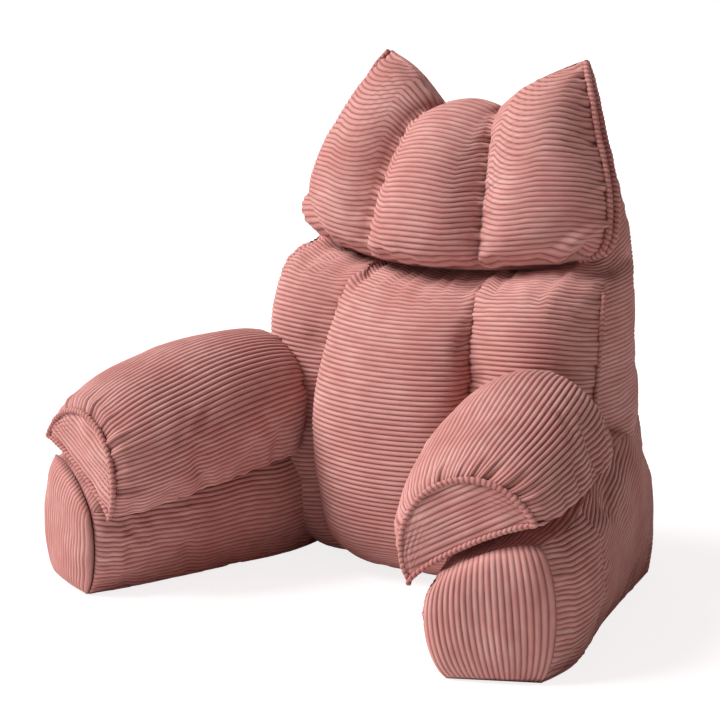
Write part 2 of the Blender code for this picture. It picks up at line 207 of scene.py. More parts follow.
def stuffed(places, held, slack, most, pressure=4.0):
    """A lattice once its cloth is filled: cut a little full, held at its seams, and pushed out from inside.
    Places move mostly outward, so that the wales stay in line, and no further than most."""
    data = skin("filling", places, np.zeros((*places.shape[:2], 2)))
    piece = add_piece("filling", data, None)
    kept = np.empty(len(data.vertices), np.int32)
    data.attributes["place"].data.foreach_get("value", kept)
    group = piece.vertex_groups.new(name="held")
    group.add(np.nonzero(held.ravel()[kept])[0].tolist(), 1.0, "ADD")
    cloth = piece.modifiers.new("filling", "CLOTH")
    cloth.settings.quality = 5
    cloth.settings.use_pressure = True
    cloth.settings.uniform_pressure_force = pressure
    cloth.settings.shrink_min = -slack
    cloth.settings.bending_stiffness = 2.0
    cloth.settings.vertex_group_mass = "held"
    cloth.settings.effector_weights.gravity = 0
    for step in range(1, SETTLING_FRAMES + 1):
        bpy.context.scene.frame_set(step)
    shaped = piece.evaluated_get(bpy.context.evaluated_depsgraph_get()).to_mesh()
    settled = np.empty(len(shaped.vertices) * 3, np.float32)
    shaped.vertices.foreach_get("co", settled)
    moved = np.full((places.shape[0] * places.shape[1], 3), np.nan)
    moved[kept] = settled.reshape(-1, 3)
    moved = moved.reshape(places.shape)
    moved[:, 0] = np.where(np.isnan(moved[:, 0]), moved[:, -1], moved[:, 0])
    moved[:, -1] = moved[:, 0]
    shift = np.where(np.isnan(moved), 0, moved - places)
    out = outwards(places)
    straight = (shift * out).sum(axis=2, keepdims=True) * out
    shift = straight + SIDEWAYS_SHARE * (shift - straight)
    length = np.linalg.norm(shift, axis=2, keepdims=True)
    bpy.data.objects.remove(piece)
    return places + shift * np.minimum(1, most / np.maximum(length, 1e-9))


def between(places, row_at, panels):
    """A finer lattice: its rows at row_at, and each panel's columns cut into so many even steps. Panels keep
    the crease where they meet. Each panel is its coarse steps and its fine steps."""
    weights = []
    start = 0
    width = places.shape[1]
    for coarse, fine in panels:
        block = np.zeros((fine, width))
        shares = curve_weights(np.arange(coarse + 1), np.linspace(0, coarse, fine + 1))
        block[:, start : start + coarse + 1] = shares[:-1]
        weights.append(block)
        start += coarse
    across = np.vstack(weights)
    across = np.vstack([across, across[:1]])
    down = curve_weights(np.arange(len(places)), row_at)
    return np.einsum("ab,bcd,ec->aed", down, places, across, optimize=True)


def outwards(places):
    """The outward direction at each place of a lattice."""
    ring = places[:, :-1]
    round_it = np.roll(ring, -1, axis=1) - np.roll(ring, 1, axis=1)
    up_it = np.gradient(ring, axis=0)
    out = np.cross(round_it, up_it)
    out /= np.maximum(np.linalg.norm(out, axis=2, keepdims=True), 1e-12)
    if (out * (ring - ring.mean(axis=(0, 1)))).sum() < 0:
        out = -out
    return np.concatenate([out, out[:, :1]], axis=1)


def seam_distance(places, panels):
    """How far each place is, round its row, from its panel's first seam and from its second."""
    steps = np.linalg.norm(np.diff(places, axis=1), axis=2)
    run = np.hstack([np.zeros((len(places), 1)), np.cumsum(steps, axis=1)])
    before = np.empty_like(run)
    after = np.empty_like(run)
    start = 0
    for _, fine in panels:
        here = slice(start, start + fine + 1)
        before[:, here] = run[:, here] - run[:, start : start + 1]
        after[:, here] = run[:, start + fine : start + fine + 1] - run[:, here]
        start += fine
    return before, after


def ripple(place, pitch, seed):
    """Uneven waves along a place in metres, about pitch apart and between about -1 and 1."""
    dice = np.random.default_rng(seed)
    waves = 0
    for share in (0.74, 1.0, 1.37, 2.1):
        waves = waves + np.sin(math.tau * place / (pitch * share) + dice.uniform(0, math.tau))
    return waves / 2.6


def folds(distance, along, height, reach, pitch, seed):
    """Uneven folds along a line, about pitch apart, that fade over reach as distance from it grows."""
    return height * groove(distance, reach) * ripple(along, pitch, seed)


def lumps(places, height, size, seed):
    """Soft uneven swellings of a filled cover, about size apart."""
    dice = np.random.default_rng(seed)
    total = 0
    for _ in range(7):
        way = dice.normal(size=3)
        way *= math.tau / (size * dice.uniform(0.7, 1.5)) / np.linalg.norm(way)
        total = total + np.sin(places @ way + dice.uniform(0, math.tau))
    return height * total / 3.0


def marked(width, first, last):
    """1 for the columns from first to last, and 0 for the rest."""
    columns = np.zeros(width)
    columns[first : last + 1] = 1
    return columns


def wale_height(count):
    """How a wale stands: 1 on its rounded top, and 0 in the narrow valley between wales."""
    return np.abs(np.sin(math.pi * count)) ** WALE_ROUNDING


def groove(distance, width):
    """1 on a line, fading to nothing at about twice the width away."""
    return np.exp(-((distance / width) ** 2))


def linear(code):
    """A colour's sRGB hex code as linear red, green, blue and alpha."""
    parts = [int(code[k : k + 2], 16) / 255 for k in (1, 3, 5)]
    return (*(part / 12.92 if part <= 0.04045 else ((part + 0.055) / 1.055) ** 2.4 for part in parts), 1)


def add_node(material, kind, settings=(), links=(), **values):
    """Adds a node, with its settings, its inputs' values by name, and links into it from other nodes."""
    node = material.node_tree.nodes.new(kind)
    for key, value in dict(settings).items():
        setattr(node, key, value)
    for key, value in values.items():
        node.inputs[key.replace("_", " ")].default_value = value
    for source, output, into in links:
        material.node_tree.links.new(source.outputs[output], node.inputs[into])
    return node


def corduroy(name, top_hex, shaded_valley_hex, worn_hex):
    """Cotton-poly wide-wale corduroy, woven with a cut pile: soft, matt, and lighter where the pile catches
    the light edge on. The valleys between wales take a painted shade colour, with the darker ground weave
    showing there too."""
    material = bpy.data.materials.new(name)
    material.use_nodes = True
    shader = material.node_tree.nodes["Principled BSDF"]
    shader.inputs["Metallic"].default_value = 0
    shader.inputs["Roughness"].default_value = 0.88
    shader.inputs["Specular IOR Level"].default_value = 0.12
    shader.inputs["Sheen Weight"].default_value = 0.24
    shader.inputs["Sheen Roughness"].default_value = 0.38
    shader.inputs["Sheen Tint"].default_value = linear("#f3c4bc")
    cord = add_node(material, "ShaderNodeUVMap", {"uv_map": "cord"})
    parts = add_node(material, "ShaderNodeSeparateXYZ", links=[(cord, "UV", "Vector")])
    turn = add_node(material, "ShaderNodeMath", {"operation": "MULTIPLY"}, [(parts, "X", 0)])
    turn.inputs[1].default_value = math.pi
    wave = add_node(material, "ShaderNodeMath", {"operation": "SINE"}, [(turn, 0, 0)])
    tall = add_node(material, "ShaderNodeMath", {"operation": "ABSOLUTE"}, [(wave, 0, 0)])
    rise = add_node(material, "ShaderNodeMath", {"operation": "POWER"}, [(tall, 0, 0)])
    rise.inputs[1].default_value = 0.55
    # The pile lies in short brushed streaks along each wale, about 25 mm long.
    along_wale = add_node(
        material, "ShaderNodeMapping", links=[(cord, "UV", "Vector")], Scale=(0.9, 0.22, 1)
    )
    streak = add_node(
        material, "ShaderNodeTexNoise", links=[(along_wale, 0, "Vector")], Scale=1.0, Detail=3.0
    )
    # The cloth is mottled in patches about 70 mm across, and its tufts are about 1.5 mm.
    body = add_node(material, "ShaderNodeTexCoord")
    mottle = add_node(
        material, "ShaderNodeTexNoise", links=[(body, "Object", "Vector")], Scale=14.0, Detail=3.0
    )
    tuft = add_node(
        material, "ShaderNodeTexNoise", links=[(body, "Object", "Vector")], Scale=700.0, Detail=2.0
    )
    worn = add_node(
        material, "ShaderNodeMath", {"operation": "MULTIPLY"}, [(streak, "Fac", 0), (mottle, "Fac", 1)]
    )
    spread = add_node(material, "ShaderNodeMapRange", links=[(worn, 0, "Value")])
    spread.inputs["From Min"].default_value = 0.14
    spread.inputs["From Max"].default_value = 0.42
    pile = add_node(material, "ShaderNodeMix", {"data_type": "RGBA"}, [(spread, 0, 0)])
    pile.inputs[6].default_value = linear(top_hex)
    pile.inputs[7].default_value = linear(worn_hex)
    # Painted shade: where the wale's rise is low, in the valleys between wales, the cloth takes the shaded
    # valley colour.
    cloth = add_node(material, "ShaderNodeMix", {"data_type": "RGBA"}, [(rise, 0, 0), (pile, 2, 7)])
    cloth.inputs[6].default_value = linear(shaded_valley_hex)
    material.node_tree.links.new(cloth.outputs[2], shader.inputs["Base Color"])
    ribbed = add_node(material, "ShaderNodeMath", {"operation": "MULTIPLY"}, [(rise, 0, 0)])
    ribbed.inputs[1].default_value = 0.6
    height = add_node(
        material, "ShaderNodeMath", {"operation": "MULTIPLY_ADD"}, [(tuft, "Fac", 0), (ribbed, 0, 2)]
    )
    height.inputs[1].default_value = 0.25
    bump = add_node(material, "ShaderNodeBump", links=[(height, 0, "Height")], Strength=0.5, Distance=0.0012)
    material.node_tree.links.new(bump.outputs[0], shader.inputs["Normal"])
    return material


def finish_cushion(name, places, cord, node, material):
    piece = add_piece(name, skin(name, places, cord), material)
    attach(piece, "root")
    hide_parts(node)
    return piece


# The cover's dusty pink cloth, a little paler where the pile is worn.
# Its third colour is painted shade for the valleys between wales.
PINK_CORDUROY = corduroy("cotton_poly_wide_wale_corduroy", "#be827c", "#703e39", "#d09e98")

BACK_SIDE, BACK_CENTRE, BACK_FLANK = 17, 28, 13
BACK_FRONT = 2 * BACK_SIDE + BACK_CENTRE
BACK_PANELS = [(k, k) for k in (BACK_SIDE, BACK_CENTRE, BACK_SIDE, BACK_FLANK, BACK_FRONT, BACK_FLANK)]
CAP_ROWS, CREST_CUTS, SEWN_ROWS = 3, 9, 5
SAMPLES = 150
SIDE_TUCK = 36.0
CREST_RISE = 0.004
WALES_PER_ROW = 2
WALE_FALL = 5
UNDER_HEAD = 0.385
UPPER_SEAM_FILL, UPPER_SEAM_START, UPPER_SEAM_RISE = 0.0070, 0.20, 0.10
STREAK_STEP = 1.5


def corner_ramp(height):
    """How far the lift of the corners has come in, from 0 low down to 1 under the head pillow."""
    return np.clip((height - LIFT_START) / LIFT_RISE, 0, 1)


def corner_share(x):
    return np.minimum(np.abs(x) / LIFT_HALF_WIDTH, 1) ** 2


def backrest_rings(height):
    row = table_at(BACKREST, height)
    seam = points(row.seam_x, row.seam_y, height)
    edge = points(row.edge_x, row.edge_y, height)
    rear = points(row.rear_x, row.rear_y, height)
    arcs = [
        puffed(mirrored(edge), mirrored(seam), row.side_puff, BACK_SIDE, FORWARD, SIDE_TUCK),
        puffed(mirrored(seam), seam, row.centre_puff, BACK_CENTRE, FORWARD, row.centre_tuck),
        puffed(seam, edge, row.side_puff, BACK_SIDE, FORWARD, SIDE_TUCK),
        puffed(edge, rear, row.flank_puff, BACK_FLANK, RIGHT),
        puffed(rear, mirrored(rear), row.rear_puff, BACK_FRONT, BACK),
        puffed(mirrored(rear), mirrored(edge), row.flank_puff, BACK_FLANK, -RIGHT),
    ]
    ring = closed_ring(arcs)
    ring[..., 2] += CORNER_LIFT * corner_ramp(height)[:, None] * corner_share(ring[..., 0])
    return ring


sampled = backrest_rings(np.linspace(0, BACKREST[-1].height, SAMPLES))
depth_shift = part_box("backrest")[1].y - sampled[..., 1].max()
sampled[..., 1] += depth_shift
back_length = np.linalg.norm(np.diff(sampled[:, BACK_FRONT // 2], axis=0), axis=1).sum()
back_rows = round(back_length / WALE / WALES_PER_ROW)
body = even_rows(sampled, back_rows + 1)
foot = pole_rows(body[0], 0 * UP, CAP_ROWS)[::-1]
crest = fold_rows(body[-1], BACK_FRONT, BACK_FLANK, UP * CREST_RISE, CAP_ROWS)
back_shape = np.concatenate([foot, body, crest])
held = np.zeros(back_shape.shape[:2], bool)
held[:SEWN_ROWS] = True
held[-SEWN_ROWS:] = True
held[:, [0, BACK_SIDE, BACK_SIDE + BACK_CENTRE, BACK_FRONT, BACK_FRONT + BACK_FLANK]] = True
back_shape = stuffed(back_shape, held, slack=0.012, most=0.006)
foot_at = np.arange(CAP_ROWS)
body_at = np.linspace(CAP_ROWS, CAP_ROWS + back_rows, WALES_PER_ROW * back_rows * WALE_CUTS + 1)
crest_at = body_at[-1] + np.linspace(0, CAP_ROWS, CREST_CUTS + 1)[1:]
rows_at = np.concatenate([foot_at, body_at, crest_at])
skin_places = between(back_shape, rows_at, BACK_PANELS)
width = skin_places.shape[1]
near_seam = np.minimum(*seam_distance(skin_places, BACK_PANELS))
tall = skin_places[..., 2]
front_columns = marked(width, 0, BACK_FRONT)
channel_columns = marked(width, BACK_SIDE // 2, BACK_FRONT - BACK_SIDE // 2 - 1)
# The wales run down towards the back across the flanks, so the back panel sits a few wales lower.
rise_back = marked(width, BACK_FRONT + BACK_FLANK, 2 * BACK_FRONT + BACK_FLANK)
flank_share = np.linspace(0, 1, BACK_FLANK + 1)
rise_back[BACK_FRONT : BACK_FRONT + BACK_FLANK + 1] = flank_share
rise_back[2 * BACK_FRONT + BACK_FLANK :] = flank_share[::-1]
count = WALES_PER_ROW * np.maximum(rows_at - CAP_ROWS, 0)[:, None] - WALE_FALL * rise_back
count = count + folds(near_seam, tall, height=0.35, reach=0.022, pitch=0.034, seed=13) * front_columns
gathers = folds(near_seam, tall, height=0.0020, reach=0.016, pitch=0.016, seed=11)
scallops = folds(tall - UNDER_HEAD, skin_places[..., 0], height=0.0030, reach=0.026, pitch=0.024, seed=12)
upper_seam = groove(near_seam, 0.014) * np.clip((tall - UPPER_SEAM_START) / UPPER_SEAM_RISE, 0, 1)
relief = (gathers + scallops) * front_columns + lumps(skin_places, height=0.0012, size=0.10, seed=14)
relief += UPPER_SEAM_FILL * upper_seam * channel_columns
relief -= 0.5 * SEAM_GROOVE * groove(near_seam, SEAM_WIDTH) * channel_columns
relief -= WALE_DEPTH * (1 - wale_height(count))
relief[rows_at < CAP_ROWS + 0.5] = 0
skin_places += outwards(skin_places) * relief[..., None]
along = STREAK_STEP * np.arange(1, width + 1) + np.zeros(skin_places.shape[:2])
back_cord = np.stack([count, along], axis=2)
finish_cushion("backrest_cushion", skin_places, back_cord, "backrest", PINK_CORDUROY)


# Head pillow
# A cushion sewn across the backrest's top, in three channels, with its two outer corners drawn up to points.
# Its wales follow its upper edge, so they fan out up each ear, and they gather along the channel seams.

HEAD_LEAN = math.radians(15)
HEAD_FOOT = points(0.0, 0.236, 0.390)
HEAD_CENTRE_RISE = 0.208
HEAD_VALLEY_RISE = 0.199
HEAD_EAR_RISE = 0.268
HEAD_VALLEY_X = 0.047
HEAD_TIP_X = 0.150
HEAD_SLOPE_BOW = 0.12
HEAD_REAR_INSET = 0.005
HEAD_SAG = 0.018
HEAD_FULL_DEPTH = 0.11
HEAD_WALES = 35
EXTRA_EAR_WALES = 4
EAR_START, EAR_RAMP = 0.085, 0.07
HEAD_LOW_FOLD = 0.405
EAR_CORNER_X, EAR_CORNER_Z = 0.205, 0.435
HEAD_EAR, HEAD_CENTRE, HEAD_BAND = 17, 18, 3
BAND_PUFF = 0.002
EAR_TUCK = 25.0
HEAD_CREST_CUTS = 6
HeadRow = namedtuple("HeadRow", "level edge_x seam_x depth band centre_puff ear_puff back_puff")
HEAD = (
    HeadRow(0.00, 0.198, 0.080, 0.070, 0.014, 0.018, 0.010, 0.002),
    HeadRow(0.06, 0.220, 0.083, 0.082, 0.019, 0.032, 0.026, 0.003),
    HeadRow(0.20, 0.225, 0.081, 0.084, 0.021, 0.042, 0.038, 0.003),
    HeadRow(0.42, 0.212, 0.075, 0.080, 0.021, 0.044, 0.042, 0.003),
    HeadRow(0.62, 0.191, 0.068, 0.073, 0.020, 0.040, 0.040, 0.003),
    HeadRow(0.80, 0.173, 0.060, 0.061, 0.017, 0.030, 0.032, 0.003),
    HeadRow(0.93, 0.158, 0.052, 0.042, 0.013, 0.018, 0.020, 0.002),
    HeadRow(1.00, 0.149, 0.047, 0.020, 0.007, 0.006, 0.006, 0.001),
)


def head_top(x):
    """The head pillow's upper outline above its foot: a round middle lobe between two ears."""
    x = np.abs(x)
    lobe = HEAD_CENTRE_RISE - (HEAD_CENTRE_RISE - HEAD_VALLEY_RISE) * (x / HEAD_VALLEY_X) ** 2
    share = np.clip((x - HEAD_VALLEY_X) / (HEAD_TIP_X - HEAD_VALLEY_X), 0, 1)
    bowed = share + HEAD_SLOPE_BOW * np.sin(math.pi * share)
    ear = HEAD_VALLEY_RISE + (HEAD_EAR_RISE - HEAD_VALLEY_RISE) * bowed
    return np.where(x <= HEAD_VALLEY_X, lobe, ear)


def lean_points(x, depth, level):
    """Places on the head pillow: across, forward of its back face, and level from its foot to its top."""
    sag = HEAD_SAG * depth / HEAD_FULL_DEPTH * (1 - level) ** 3
    rise = CORNER_LIFT * corner_share(x) * (1 - level) + head_top(x) * level - sag
    lean = points(0 * x, math.sin(HEAD_LEAN) * rise, math.cos(HEAD_LEAN) * rise)
    forward = points(x, -math.cos(HEAD_LEAN) * depth, math.sin(HEAD_LEAN) * depth)
    return HEAD_FOOT + lean + forward + BACK * depth_shift


def head_rings(level):
    row = table_at(HEAD, level)
    seam, front = points(row.seam_x, row.depth, 0), points(row.edge_x, row.band, 0)
    rear, seam_back = points(row.edge_x - HEAD_REAR_INSET, 0, 0), points(row.seam_x, 0, 0)
    arcs = [
        puffed(mirrored(front), mirrored(seam), row.ear_puff, HEAD_EAR, BACK, EAR_TUCK),
        puffed(mirrored(seam), seam, row.centre_puff, HEAD_CENTRE, BACK),
        puffed(seam, front, row.ear_puff, HEAD_EAR, BACK, EAR_TUCK),
        puffed(front, rear, BAND_PUFF, HEAD_BAND, RIGHT),
        puffed(rear, seam_back, row.back_puff, HEAD_EAR, FORWARD),
        puffed(seam_back, mirrored(seam_back), row.back_puff, HEAD_CENTRE, FORWARD),
        puffed(mirrored(seam_back), mirrored(rear), row.back_puff, HEAD_EAR, FORWARD),
        puffed(mirrored(rear), mirrored(front), BAND_PUFF, HEAD_BAND, -RIGHT),
    ]
    flat = closed_ring(arcs)
    return lean_points(flat[..., 0], flat[..., 1], level[:, None])


HEAD_FRONT = 2 * HEAD_EAR + HEAD_CENTRE
HEAD_SIDES = (HEAD_EAR, HEAD_CENTRE, HEAD_EAR, HEAD_BAND)
HEAD_PANELS = [(k, k) for k in HEAD_SIDES + HEAD_SIDES]
body = head_rings(np.linspace(0, 1, HEAD_WALES + 1))
lean_up = points(0, math.sin(HEAD_LEAN), math.cos(HEAD_LEAN))
foot = fold_rows(body[0], HEAD_FRONT, HEAD_BAND, -CREST_RISE * lean_up, CAP_ROWS)[::-1]
crest = fold_rows(body[-1], HEAD_FRONT, HEAD_BAND, CREST_RISE * lean_up, CAP_ROWS)
head_shape = np.concatenate([foot, body, crest])
held = np.zeros(head_shape.shape[:2], bool)
held[: CAP_ROWS + 1] = True
held[-CAP_ROWS:] = True
held[:, [0, HEAD_EAR, HEAD_EAR + HEAD_CENTRE]] = True
held[:, HEAD_FRONT:] = True
head_shape = stuffed(head_shape, held, slack=0.012, most=0.006)
foot_at = np.arange(CAP_ROWS)
body_at = np.linspace(CAP_ROWS, CAP_ROWS + HEAD_WALES, HEAD_WALES * WALE_CUTS + 1)
crest_at = body_at[-1] + np.linspace(0, CAP_ROWS, HEAD_CREST_CUTS + 1)[1:]
rows_at = np.concatenate([foot_at, body_at, crest_at])
skin_places = between(head_shape, rows_at, HEAD_PANELS)
width = skin_places.shape[1]
near_seam = np.minimum(*seam_distance(skin_places, HEAD_PANELS))
tall = skin_places[..., 2]
front_columns = marked(width, 0, HEAD_FRONT)
channel_columns = marked(width, HEAD_EAR // 2, HEAD_FRONT - HEAD_EAR // 2 - 1)
level = np.clip((rows_at - CAP_ROWS) / HEAD_WALES, 0, 1)[:, None]
across = np.abs(skin_places[..., 0])
ear_ramp = np.clip((across - EAR_START) / EAR_RAMP, 0, 1)
extra = EXTRA_EAR_WALES * ear_ramp * (3 - 2 * ear_ramp) * np.minimum(2 * level, 1)
count = np.maximum(rows_at - CAP_ROWS, 0)[:, None] + extra
count = count + folds(near_seam, tall, height=0.25, reach=0.020, pitch=0.031, seed=22) * front_columns
relief = folds(near_seam, tall, height=0.0030, reach=0.012, pitch=0.015, seed=21)
slanted = skin_places[..., 0] + 0.6 * tall
relief += folds(tall - HEAD_LOW_FOLD, slanted, height=0.0032, reach=0.022, pitch=0.040, seed=23)
slanted = 0.75 * tall - 0.66 * across
corner = folds(tall - EAR_CORNER_Z, slanted, height=0.0064, reach=0.035, pitch=0.024, seed=25)
relief += corner * groove(across - EAR_CORNER_X, 0.050)
relief = relief * front_columns + lumps(skin_places, height=0.0010, size=0.09, seed=24)
relief -= SEAM_GROOVE * groove(near_seam, SEAM_WIDTH) * channel_columns
relief -= WALE_DEPTH * (1 - wale_height(count))
relief *= np.clip(rows_at - CAP_ROWS + 0.5, 0, 1)[:, None]
skin_places += outwards(skin_places) * relief[..., None]
along = STREAK_STEP * np.arange(1, width + 1) + np.zeros(skin_places.shape[:2])
head_cord = np.stack([count, along], axis=2)
finish_cushion("head_cushion", skin_places, head_cord, "head_pillow", PINK_CORDUROY)


# Head pillow's piped edges
# Each side of the head pillow is a narrow band between two seams, whose folded edges stand up as ropes. The
# wales of the cloth cross them, so they look beaded. They start at the ear's tip and run in under its foot.

ROPE_SIDES = 10
BEAD_SLANT, BEAD_DEPTH = 0.22, 0.26
ROPE_UNEVENNESS, ROPE_END = 0.08, 0.6
HeadRope = namedtuple("HeadRope", "place depth_share radius stand_out")
HEAD_ROPES = (
    HeadRope("front", 1.0, 0.0044, 0.0),
    HeadRope("rear", 0.0, 0.0056, 0.0014),
)
ROPE_FOOT_LEVEL = 0.03
ROPE_TUCK = 0.040
TUCK_SHARES = np.array([0.25, 0.6, 1.0])
TUCK_DEPTHS = np.array([0.003, 0.008, 0.012])
HANDS = ((1, "left"), (-1, "right"))


def unit(ways):
    return ways / np.linalg.norm(ways, axis=-1, keepdims=True)


def rope(name, route, radius, node):
    """A piped edge along a route, beaded where each wale crosses it."""
    run = np.concatenate([[0], np.cumsum(np.linalg.norm(np.diff(route, axis=0), axis=1))])
    at = np.linspace(0, run[-1], WALE_CUTS * round(run[-1] / WALE) + 1)
    line = curve_weights(run, at) @ route
    ahead = unit(np.gradient(line, axis=0))
    over = unit(np.cross(ahead, RIGHT + 0.2 * FORWARD))
    under = np.cross(ahead, over)
    turn = np.linspace(0, math.tau, ROPE_SIDES + 1)
    beads = (at / WALE)[:, None] + BEAD_SLANT * np.sin(turn)
    uneven = 1 + ROPE_UNEVENNESS * ripple(at, 0.035, 61)[:, None]
    girth = radius * (1 - BEAD_DEPTH + BEAD_DEPTH * wale_height(beads)) * uneven
    spokes = over[:, None] * np.cos(turn)[:, None] + under[:, None] * np.sin(turn)[:, None]
    tube = line[:, None] + girth[..., None] * spokes
    start = pole_rows(tube[0], -ahead[0] * radius * ROPE_END, CAP_ROWS)[::-1]
    end = pole_rows(tube[-1], ahead[-1] * radius * ROPE_END, CAP_ROWS)
    places = np.concatenate([start, tube, end])
    count = np.pad(beads, ((CAP_ROWS, CAP_ROWS), (0, 0)), mode="edge")
    along = np.broadcast_to(turn / math.tau * 3, count.shape)
    piece = add_piece(name, skin(name, places, np.stack([count, along], axis=2)), SEAM_CORDUROY)
    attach(piece, "root")
    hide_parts(node)


# The same cloth folded into the seams, a little darker because the pile is pressed.
# Its third colour is painted shade between the beads.
SEAM_CORDUROY = corduroy("cotton_poly_corduroy_piped_edge", "#b47771", "#6b3a35", "#c6918b")

for side, hand in HANDS:
    for kind in HEAD_ROPES:
        level = np.linspace(1.0, ROPE_FOOT_LEVEL, 30)
        row = table_at(HEAD, level)
        edge = row.edge_x - HEAD_REAR_INSET * (1 - kind.depth_share)
        rope_x = side * (edge + kind.radius * 0.5 + kind.stand_out)
        route = lean_points(rope_x, row.band * kind.depth_share, level)
        tuck_x = side * (HEAD[0].edge_x - ROPE_TUCK * TUCK_SHARES)
        tuck_depth = HEAD[0].band * kind.depth_share + TUCK_DEPTHS
        route = np.concatenate([route, lean_points(tuck_x, tuck_depth, 0 * TUCK_SHARES)])
        name = kind.place + "_" + hand
        rope("head_rope_" + name, route, kind.radius, "head_welt_" + name)


# Backrest's piped corners
# A stretch of the seam between the backrest's front and each flank stands up as a rope, from just above the
# arm to just under the head pillow. It is thinner than the head pillow's ropes.

CORNER_ROPE_FOOT, CORNER_ROPE_TOP = 0.225, 0.360
CORNER_ROPE_STAND_OUT, CORNER_ROPE_RADIUS = 0.0008, 0.0036

for side, hand in HANDS:
    height = np.linspace(CORNER_ROPE_FOOT, CORNER_ROPE_TOP, 12)
    row = table_at(BACKREST, height)
    lifted = height + CORNER_LIFT * corner_ramp(height)
    route = points(side * (row.edge_x + CORNER_ROPE_STAND_OUT), row.edge_y + depth_shift, lifted)
    rope("backrest_rope_" + hand, route, CORNER_ROPE_RADIUS, "backrest_welt_" + hand)


# Arm bases
# The two bolsters that stand on the floor at the backrest's sides. Each is a tube of corduroy, with its wales
# along the arm, closed in front by an upright panel that the filling pushes forward.

BaseRow = namedtuple(
    "BaseRow", "place inner_x inner_y outer_x outer_y inner_rise outer_rise wall_puff top_puff"
)
ARM_BASE = (
    BaseRow(0, 0.270, -0.182, 0.363, -0.134, 0.106, 0.154, 0.017, 0.013),
    BaseRow(1, 0.264, -0.170, 0.366, -0.114, 0.110, 0.160, 0.020, 0.015),
    BaseRow(2, 0.244, -0.120, 0.362, -0.060, 0.112, 0.166, 0.020, 0.018),
    BaseRow(3, 0.222, -0.040, 0.338, 0.012, 0.118, 0.176, 0.022, 0.020),
    BaseRow(4, 0.200, 0.040, 0.314, 0.082, 0.126, 0.188, 0.022, 0.022),
    BaseRow(5, 0.182, 0.110, 0.294, 0.150, 0.134, 0.200, 0.020, 0.024),
    BaseRow(6, 0.182, 0.180, 0.276, 0.214, 0.138, 0.206, 0.016, 0.022),
    BaseRow(7, 0.200, 0.248, 0.260, 0.276, 0.126, 0.176, 0.010, 0.018),
    BaseRow(8, 0.214, 0.300, 0.249, 0.316, 0.096, 0.130, 0.004, 0.010),
)
BASE_FLOOR, BASE_OUTER, BASE_TOP, BASE_INNER = 4, 18, 12, 14
BASE_PANELS = [(BASE_FLOOR, BASE_FLOOR), (BASE_OUTER, 190), (BASE_TOP, 70), (BASE_INNER, 120)]
BASE_SAMPLES, BASE_LENGTH_ROWS, BASE_ROW_CUTS = 90, 44, 3
BASE_TAIL_DEPTH, BASE_NOSE_DEPTH = 0.004, 0.012
BASE_SEWN_ROWS = 6
INNER_TOP_LEAN, OUTER_TOP_LEAN = 0.9, 0.3
ARM_FACE = math.radians(27)
DART_BACK, DART_HEIGHT, DART_DEPTH = 0.135, 0.095, 0.0050
DART_SLOPE, DART_UPRIGHT_HEIGHT = 0.1, 0.1
DART_WALES = 0.35
FLOOR_FADE, SEAM_FADE_START, SEAM_FADE = 0.006, 0.002, 0.008
BASE_END_PUFF, BASE_END_OVERLAP, BASE_END_STAND_OFF = 0.020, 1.025, 0.002
BASE_END_WIDENING = 1.3
BASE_END_TALL = 18
BASE_END_BOW = 0.5
PANEL_BACK = 0.001


def base_rings(place):
    row = table_at(ARM_BASE, place)
    inner, outer = points(row.inner_x, row.inner_y, 0), points(row.outer_x, row.outer_y, 0)
    across = unit(outer - inner)
    puff, top = row.wall_puff[:, None], row.top_puff
    inner_top = inner - across * puff * INNER_TOP_LEAN + UP * row.inner_rise[:, None]
    outer_top = outer - across * puff * OUTER_TOP_LEAN + UP * row.outer_rise[:, None]
    mean_across = unit(across.mean(axis=0))
    arcs = [
        puffed(inner, outer, 0.0, BASE_FLOOR, -UP),
        puffed(outer, outer_top, row.wall_puff, BASE_OUTER, mean_across),
        puffed(outer_top, inner_top, top, BASE_TOP, UP),
        puffed(inner_top, inner, row.wall_puff, BASE_INNER, -mean_across),
    ]
    return closed_ring(arcs) + BACK * depth_shift


def down_run(places):
    """How far each place of a lattice is, along its column, from the first row."""
    steps = np.diff(places, axis=0, prepend=places[:1])
    return np.cumsum(np.linalg.norm(steps, axis=2), axis=0)


def even_line(line, count):
    """A line of places, respaced evenly."""
    return even_rows(line[:, None], count)[:, 0]


def patch(low, high, left, right):
    """A lattice that fills four lines: low and high run left to right, left and right run upwards."""
    across = np.linspace(0, 1, len(low))[None, :, None]
    upward = np.linspace(0, 1, len(left))[:, None, None]
    from_low_high = (1 - upward) * low + upward * high
    from_sides = (1 - across) * left[:, None] + across * right[:, None]
    foot = (1 - across) * low[0] + across * low[-1]
    crown = (1 - across) * high[0] + across * high[-1]
    return from_low_high + from_sides - (1 - upward) * foot - upward * crown


def lens(flat, forward, puff):
    """A panel puffed forward from its rim, and its back, as one closed lattice. Also how far each place of
    the panel swells, from 0 at the rim to 1 in the middle."""
    upward = np.linspace(-1, 1, flat.shape[0])[:, None, None]
    across = np.linspace(-1, 1, flat.shape[1])[None, :, None]
    swell = np.sqrt((1 - np.abs(upward) ** 3) * (1 - np.abs(across) ** 3))
    front = flat + forward * puff * swell
    back = flat - forward * PANEL_BACK * swell
    return np.concatenate([front, back[:, ::-1][:, 1:]], axis=1), swell[..., 0]


def finish_panel(name, flat, forward, puff, count, along, seed):
    """A corduroy end panel from its flat lattice, with its wale counts."""
    places, swell = lens(flat, forward, puff)
    columns = flat.shape[1]
    count = np.concatenate([count, count[:, ::-1][:, 1:]], axis=1)
    along = np.concatenate([along, along[:, ::-1][:, 1:]], axis=1)
    relief = lumps(flat, height=0.0012, size=0.05, seed=seed)
    relief -= WALE_DEPTH * (1 - wale_height(count[:, :columns]))
    places[:, :columns] += forward * (relief * np.minimum(4 * swell, 1))[..., None]
    piece = add_piece(name, skin(name, places, np.stack([count, along], axis=2)), PINK_CORDUROY)
    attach(piece, "root")


